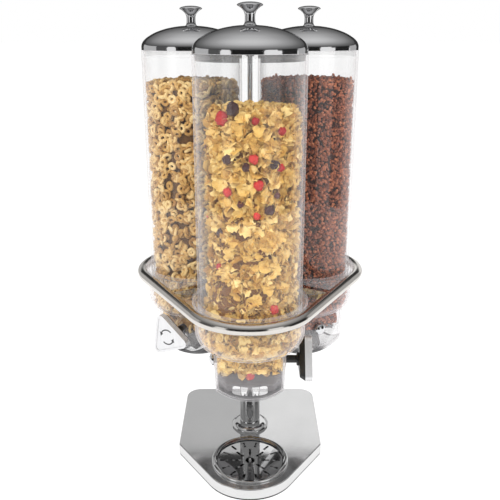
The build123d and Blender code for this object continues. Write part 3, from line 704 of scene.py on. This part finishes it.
hoop_finish = toasted("toasted_hoops", ((0.12, (0.30, 0.14, 0.030)), (0.5, (0.58, 0.34, 0.095)),
                                        (0.88, (0.84, 0.64, 0.31))), roughness=0.5, mottle=260.0)
flake_finish = toasted("toasted_flakes", ((0.15, (0.42, 0.20, 0.030)), (0.45, (0.70, 0.44, 0.11)),
                                          (0.85, (0.90, 0.68, 0.28))), roughness=0.42, mottle=200.0)
grain_finish = toasted("malted_grains", ((0.15, (0.085, 0.020, 0.009)), (0.5, (0.30, 0.080, 0.033)),
                                         (0.88, (0.58, 0.200, 0.085))), roughness=0.5, mottle=500.0)
berry_finish = toasted("red_berries", ((0.1, (0.20, 0.008, 0.010)), (0.5, (0.50, 0.018, 0.018)),
                                       (0.9, (0.66, 0.06, 0.045))), roughness=0.35, mottle=400.0)
raisin_finish = toasted("dark_fruit", ((0.1, (0.022, 0.006, 0.006)), (0.5, (0.055, 0.012, 0.012)),
                                       (0.9, (0.13, 0.03, 0.028))), roughness=0.3, mottle=400.0)
# The three core finishes are darker than the pieces: painted shade of the gaps deep between the pieces.
hoop_painted_shade_core = toasted("hoop_painted_shade_core", ((0.1, (0.10, 0.045, 0.012)), (0.9, (0.22, 0.11, 0.03))),
                    roughness=0.8, mottle=300.0)
flake_painted_shade_core = toasted("flake_painted_shade_core", ((0.1, (0.18, 0.070, 0.014)), (0.9, (0.38, 0.18, 0.040))),
                     roughness=0.8, mottle=300.0)
grain_painted_shade_core = toasted("grain_painted_shade_core", ((0.1, (0.03, 0.009, 0.006)), (0.9, (0.09, 0.028, 0.015))),
                     roughness=0.8, mottle=500.0)
print("cereal finishes ready")

# %% [markdown]
# A hoop is a torus whose ring wobbles, a flake is a bent grid with a ragged edge, and grains and fruit are
# rough pebbles. A handful of variants of each is enough, because every copy is turned and sized its own way.

# %% Small shapes
hoop_wobble = 0.035
hoop_squash = 0.95
flake_side = 6
flake_edge_starts = 0.7
flake_widths = (0.75, 1.1)
flake_cross_curl = 0.5
flake_crinkle = 0.09
pebble_roughness = (0.85, 1.15)


def hoop_shape(ring, tube, around, across):
    angles = np.linspace(0, 2 * pi, around, endpoint=False)
    rounds = np.linspace(0, 2 * pi, across, endpoint=False)
    wobble = 1 + draw.normal(0, hoop_wobble, around)
    points = [((ring + tube * cos(b)) * cos(a) * w, (ring + tube * cos(b)) * sin(a) * w,
               tube * sin(b) * hoop_squash) for a, w in zip(angles, wobble) for b in rounds]
    faces = []
    for i in range(around):
        here, there = i * across, ((i + 1) % around) * across
        for j in range(across):
            k = (j + 1) % across
            faces.append([here + j, there + j, there + k, here + k])
    return np.array(points), faces


def flake_shape(radius, curl, ragged):
    """A curled sheet with an uneven edge, drawn as a bent grid."""
    side = flake_side
    steps = np.linspace(-1, 1, side)
    u, v = np.meshgrid(steps, steps)
    x, y = u * np.sqrt(1 - v ** 2 / 2), v * np.sqrt(1 - u ** 2 / 2)
    edge = 1 + draw.normal(0, ragged, (side, side)) * (np.maximum(abs(u), abs(v)) > flake_edge_starts)
    x, y = x * edge * draw.uniform(*flake_widths), y * edge
    z = curl * x ** 2 - curl * flake_cross_curl * y ** 2 + draw.normal(0, flake_crinkle, (side, side))
    points = radius * np.stack([x, y, z], -1).reshape(-1, 3)
    faces = [[i * side + j, i * side + j + 1, (i + 1) * side + j + 1, (i + 1) * side + j]
             for i in range(side - 1) for j in range(side - 1)]
    return points, faces


def pebble_shape(radius, stretch, rows=4, around=6):
    """A small rough ball. Its end rows close to a point."""
    points, faces = [], []
    for row in range(rows + 1):
        polar = pi * row / rows
        for step in range(around):
            a = 2 * pi * step / around
            r = radius * draw.uniform(*pebble_roughness)
            points.append((r * sin(polar) * cos(a), r * sin(polar) * sin(a), r * stretch * cos(polar)))
    for row in range(rows):
        low, high = row * around, (row + 1) * around
        for step in range(around):
            j = (step + 1) % around
            faces.append([low + step, high + step, high + j, low + j])
    return np.array(points), faces


hoops = [hoop_shape(ring=0.0041, tube=0.0023, around=12, across=7) for _ in range(4)]
flakes = [flake_shape(radius=1.0, curl=draw.uniform(0.25, 0.7), ragged=0.16) for _ in range(9)]
grains = [pebble_shape(radius=0.0017, stretch=draw.uniform(1.1, 1.6)) for _ in range(4)]
fruits = [pebble_shape(radius=1.0, stretch=draw.uniform(0.6, 0.9), rows=6, around=10) for _ in range(4)]
print("shapes", len(hoops), len(flakes), len(grains), len(fruits))

# %% [markdown]
# The left jar holds small toasted hoops to 44 mm under the lid, the right one fine malted grains to nearly
# the same level, and the front one curled flakes, lower and off to one side. Flakes and fruit are drawn at
# a size of one, so their size is a length. Hoops and grains have their real size, so theirs is a factor.

# %% Fill the jars
hoop_level = lid_low.z - 0.044
grain_level = lid_low.z - 0.039
flake_level = lid_low.z - 0.066
flake_narrow = 0.007
flake_shift = 0.004
hoop_sizes, hoop_tilt = (0.88, 1.12), 0.55
grain_sizes, grain_tilt = (0.7, 1.3), 1.2
flake_sizes, flake_tilt = (0.0046, 0.0090), 0.55

places, facing = joined(wall_places(2500, hoop_level, inset=0.003, spread=0.006),
                        top_places(260, hoop_level, radius=0.055, heap=0.002))
sizes = draw.uniform(*hoop_sizes, len(places))
left_hoops = scattered("hoops", hoops, places, facing, hoop_tilt, sizes, hoop_finish)
hoop_plug = core("hoop_painted_shade_core", hoop_level - 0.004, inset=0.009, material=hoop_painted_shade_core)
stage_in("left", left_hoops, hoop_plug)

places, facing = joined(wall_places(15000, grain_level, inset=0.0018, spread=0.0035),
                        top_places(1900, grain_level, radius=0.058, heap=0.001))
sizes = draw.uniform(*grain_sizes, len(places))
right_grains = scattered("grains", grains, places, facing, grain_tilt, sizes, grain_finish)
grain_plug = core("grain_painted_shade_core", grain_level - 0.002, inset=0.005, material=grain_painted_shade_core)
stage_in("right", right_grains, grain_plug)

places, facing = joined(wall_places(4300, flake_level, 0.003, 0.008, flake_narrow, flake_shift),
                        top_places(420, flake_level, 0.048, 0.002, flake_shift))
sizes = draw.uniform(*flake_sizes, len(places))
front_flakes = scattered("flakes", flakes, places, facing, flake_tilt, sizes, flake_finish)
flake_plug = core("flake_painted_shade_core", flake_level - 0.005, 0.011, flake_painted_shade_core, flake_narrow, flake_shift)
stage_in("front", front_flakes, flake_plug)
print("points", [len(made.data.vertices) for made in (left_hoops, right_grains, front_flakes)])

# %% [markdown]
# Red berries and dark fruit lie at the angles and heights where they show, given in degrees from the front
# and metres, with each one's size. More of them are drawn at random on the far side.

# %% Fruit among the flakes
berry_spots = ((-42, 0.479, 0.0085), (2, 0.478, 0.0045), (36, 0.466, 0.005), (0, 0.437, 0.006),
               (34, 0.426, 0.005), (6, 0.408, 0.006), (-34, 0.398, 0.0055), (4, 0.373, 0.0045),
               (28, 0.257, 0.006), (-50, 0.307, 0.004))
raisin_spots = ((-26, 0.490, 0.0080), (-34, 0.435, 0.006), (26, 0.430, 0.006), (20, 0.379, 0.0065),
                (-16, 0.386, 0.004), (-9, 0.428, 0.005), (30, 0.395, 0.004), (-46, 0.350, 0.0045))
hidden_fruit = 26
hidden_sizes = (0.003, 0.006)
fruit_sunk = 0.35
fruit_tilt = 0.3
chute_berry_tilt = 0.1
chute_berry_place = (0.0, -chute_half + 0.003, 0.1655)
chute_berry_size = 0.0058


def fruit_places(spots):
    """The pieces that show from the front, by angle, height and size, and more behind."""
    turn = np.radians([angle - 90 for angle, _, _ in spots])
    heights = np.array([height for _, height, _ in spots])
    sizes = np.array([size for _, _, size in spots])
    turn = np.append(turn, draw.uniform(0, pi, hidden_fruit))
    heights = np.append(heights, draw.uniform(jar_low.z, flake_level, hidden_fruit))
    sizes = np.append(sizes, draw.uniform(*hidden_sizes, hidden_fruit))
    out = jar_inside - flake_narrow - sizes * fruit_sunk
    return np.stack([out * np.cos(turn) + flake_shift, out * np.sin(turn), heights], -1), turn, sizes


for name, spots, finish in (("berries", berry_spots, berry_finish), ("raisins", raisin_spots, raisin_finish)):
    places, facing, sizes = fruit_places(spots)
    stage_in("front", scattered(name, fruits, places, facing, fruit_tilt, sizes, finish))
stage_in("front", scattered("chute_berry", fruits, np.array([chute_berry_place]), np.array([-pi / 2]),
                            chute_berry_tilt, np.array([chute_berry_size]), berry_finish))
print("fruit", len(berry_spots) + len(raisin_spots) + 2 * hidden_fruit + 1)

# %% [markdown]
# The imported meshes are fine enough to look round, but flat facets would still flash in a mirror finish.
# Smoothing every edge would smear the crisp corners of the pan and the plates, so only edges that turn by
# less than 30 degrees are smoothed.

# %% Smooth the round surfaces
smooth_angle = radians(30)
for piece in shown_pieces():
    if piece.type == "MESH":
        mesh = piece.data
        mesh.polygons.foreach_set("use_smooth", [True] * len(mesh.polygons))
        mesh.set_sharp_from_angle(angle=smooth_angle)

# %% [markdown]
# A mirror only shows its room. The floor glows almost white by itself, so that only a soft contact shadow
# is left of the dispenser. The sky shows each kind of ray something else: the camera a plain white, matt
# things an even grey, and a mirror a ramp that is light at the horizon, dark just above it and bright at
# the top. That is what gives a polished dome its dark crown and its light shoulder.

# %% Floor and sky
floor_size = 30.0
room_light = 0.75
white = (1.0, 1.0, 1.0, 1.0)
floor_corners = [(x * floor_size, y * floor_size, 0) for x, y in ((-1, -1), (1, -1), (1, 1), (-1, 1))]
floor_mesh = bpy.data.meshes.new("floor")
floor_mesh.from_pydata(floor_corners, [], [(0, 1, 2, 3)])
floor_finish = Finish("floor", Roughness=0.9, Base_Color=(0.22, 0.22, 0.22, 1.0), Specular_IOR_Level=0.0,
                      Emission_Color=white, Emission_Strength=0.87)
floor_mesh.materials.append(floor_finish.material)
floor = bpy.data.objects.new("floor", floor_mesh)
bpy.context.scene.collection.objects.link(floor)
floor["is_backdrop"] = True

world = bpy.data.worlds.new("studio")
world.use_nodes = True
bpy.context.scene.world = world
sky = Sheet(world.node_tree)
direction = sky.node("ShaderNodeTexCoord", out="Generated")
height = sky.node("ShaderNodeSeparateXYZ", sockets={0: direction}, out="Z")
mirrored = sky.node("ShaderNodeLightPath", out="Is Glossy Ray")
seen = sky.node("ShaderNodeLightPath", out="Is Camera Ray")
plain = sky.blend(seen, (room_light, room_light, room_light, 1.0), white)
tones = sky.node("ShaderNodeValToRGB", {"stops": (
    (0.0, 0.50), (0.10, 0.30), (0.20, 0.06), (0.50, 0.20), (0.78, 0.44), (1.0, 0.75))}, {0: height})
backdrop = sky.blend(mirrored, plain, tones)
sky.tree.links.new(backdrop.socket, sky.tree.nodes["Background"].inputs["Color"])
print("sky and floor ready")

# %% [markdown]
# Dark and light cards stand round the table, as in a product photographer's tent. Neither the camera nor
# matt surfaces see them, but metal and gloss do. A ring of bent cards gives the skirts and the post their
# upright strips. Two low cards behind brighten the base's top, and a dark one above them darkens its nose
# and the crowns of the domes.

# %% Cards round the table
card_distance = 1.45
card_height = 0.85
card_foot = 0.002
card_panels = 8
ring_cards = ((-53, -36, 1.0), (-34, 25, 0.005), (27, 51, 1.0), (60, 100, 0.012), (103, 160, 0.5),
              (204, 277, 0.55), (277, 305, 0.09))
back_card_place = 0.50
back_card_half = 0.60
back_card_low = 0.22
back_card_high = 0.42
dark_card_high = 0.75
back_row = [(x * back_card_half, back_card_place) for x in (-1, 0, 1)]
back_cards = (("card_behind_left", back_row[:2], back_card_low, back_card_high, 0.55),
              ("card_behind_right", back_row[1:], back_card_low, back_card_high, 0.95),
              ("card_above", back_row, back_card_high, dark_card_high, 0.03))


def card(name, row, low, high, tone):
    """A glowing strip over a row of places on the floor."""
    columns = len(row)
    corners = [(x, y, low) for x, y in row] + [(x, y, high) for x, y in row]
    mesh = bpy.data.meshes.new(name)
    mesh.from_pydata(corners, [], [(i, i + 1, columns + 1 + i, columns + i) for i in range(columns - 1)])
    finish = Finish(name, Roughness=1.0, Base_Color=(0, 0, 0, 1.0), Emission_Color=white,
                    Emission_Strength=tone)
    mesh.materials.append(finish.material)
    made = bpy.data.objects.new(name, mesh)
    bpy.context.scene.collection.objects.link(made)
    made.visible_camera = False
    made.visible_diffuse = False
    made.visible_shadow = False
    made.visible_transmission = False
    made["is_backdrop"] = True


for index, (start, end, tone) in enumerate(ring_cards):
    angles = [radians(start + (end - start) * step / card_panels - 90) for step in range(card_panels + 1)]
    card(f"card_{index}", [on_circle(card_distance, angle) for angle in angles], card_foot, card_height, tone)
for name, row, low, high, tone in back_cards:
    card(name, row, low, high, tone)
print("cards", len(ring_cards) + len(back_cards))

# %% [markdown]
# Three soft lamps shape the matt things: cereal, rubber and plastic. They could show in the metal as bright
# squares, so glossy rays don't see them, and the cards do that work.

# %% Lights
lamps = (("key", (-0.9, -1.3, 1.5), 1.0, 26.0),
         ("fill", (1.2, -1.1, 1.1), 1.2, 16.0),
         ("rim", (0.2, 1.4, 1.6), 1.2, 14.0))
aim = Vector((0, 0, (jar_low.z + jar_high.z) / 2))
for name, place, size, power in lamps:
    lamp = bpy.data.lights.new(name, "AREA")
    lamp.size = size
    lamp.energy = power
    lit = bpy.data.objects.new(name, lamp)
    lit.location = place
    lit.rotation_euler = (aim - Vector(place)).to_track_quat("-Z", "Y").to_euler()
    lit.visible_glossy = False
    bpy.context.scene.collection.objects.link(lit)
bpy.context.scene.view_settings.view_transform = "Standard"
print("lamps", len(lamps))

# %% [markdown]
# The camera was solved from the ellipses of the lids, the jars and the tray: 18 degrees down, from about
# 0.77 m in front of the front jar, on a lens of 48 mm. It has no shift and no blur.

# %% Camera
camera_place = (0.0, -0.8555, 0.5698)
camera_dip = 0.3189
lens_length = 47.88
sensor_width = 36.0
camera_data = bpy.data.cameras.new("camera")
camera_data.sensor_width = sensor_width
camera_data.lens = lens_length
camera = bpy.data.objects.new("camera", camera_data)
camera.location = camera_place
camera.rotation_euler = (pi / 2 - camera_dip, 0.0, 0.0)
bpy.context.scene.collection.objects.link(camera)
bpy.context.scene.camera = camera
print("camera at", tuple(round(v, 3) for v in camera.location))
